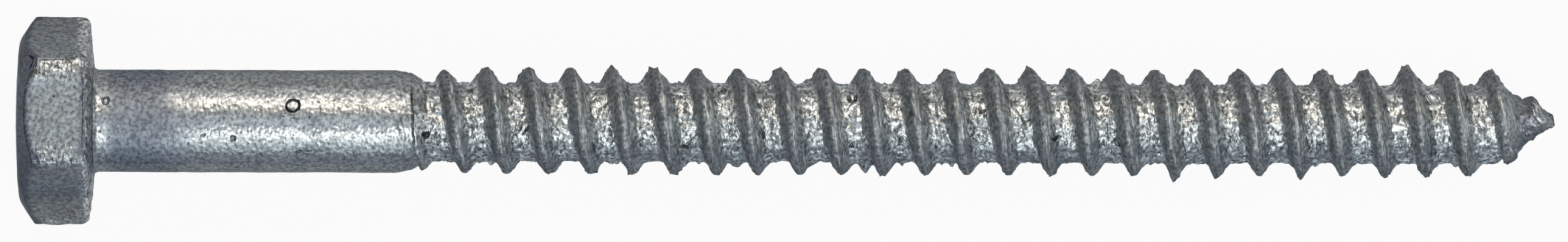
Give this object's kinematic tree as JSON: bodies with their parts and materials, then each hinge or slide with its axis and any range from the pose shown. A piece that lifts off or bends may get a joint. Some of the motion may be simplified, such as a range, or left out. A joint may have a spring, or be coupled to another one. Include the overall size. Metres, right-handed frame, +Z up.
{
  "type": "lag screw",
  "caption": "Hex-head lag screw with a plain shank, a coarse right-hand wood thread and a cone point, hot-dip galvanised, lying on its side.",
  "frame": {"origin": "centre of the bearing face under the head, on the screw's axis", "axes": "+X runs along the screw from the head to the point, +Z is up and +Y is to the left of the screw. The screw lies at rest, nose down, so its own axis dips 1.549 degrees below +X. Two flats of the hexagon face up and down, and two of its corners lie level at +Y and -Y."},
  "size_m": [0.0934, 0.0126, 0.0111],
  "materials": {
    "galvanised_steel": "hot-dip galvanised, dull grey with small glints"
  },
  "bodies": {
    "root": {"lag_screw": "galvanised_steel"}
  },
  "joints": []
}
